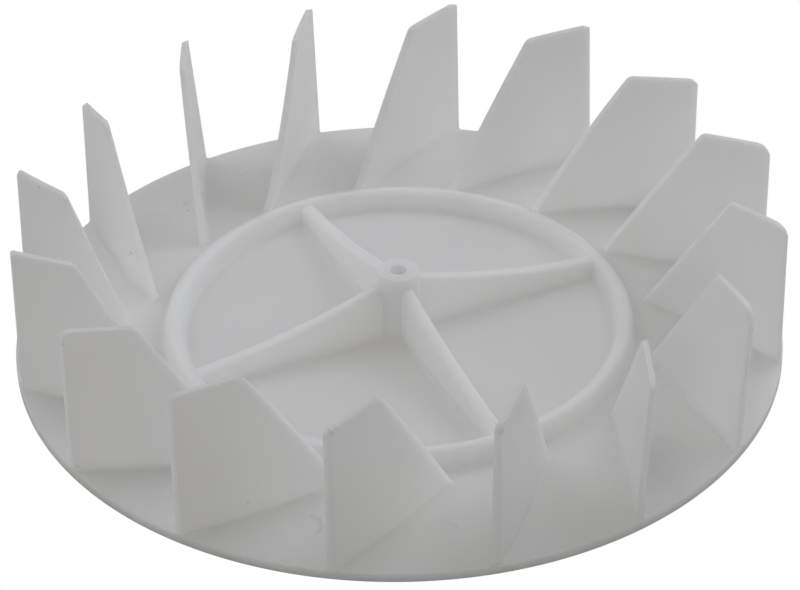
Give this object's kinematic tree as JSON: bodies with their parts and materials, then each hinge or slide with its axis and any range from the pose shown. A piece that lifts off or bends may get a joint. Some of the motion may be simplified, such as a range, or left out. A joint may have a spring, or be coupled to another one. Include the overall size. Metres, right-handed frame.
{
  "type": "roof vent fan wheel",
  "caption": "One-piece moulded centrifugal fan wheel: thin round disc, upright swept blades at the rim, ring bead, tapering ribs and a bored hub for a small motor shaft.",
  "frame": {"origin": "on the shaft axis, at the underside of the disc, which is the lowest face", "axes": "+Z along the shaft axis, from the disc towards the blade tips"},
  "size_m": [0.1524, 0.1524, 0.0333],
  "materials": {
    "wheel_plastic": "satin"
  },
  "bodies": {
    "root": {"fan_wheel": "wheel_plastic"}
  },
  "joints": []
}
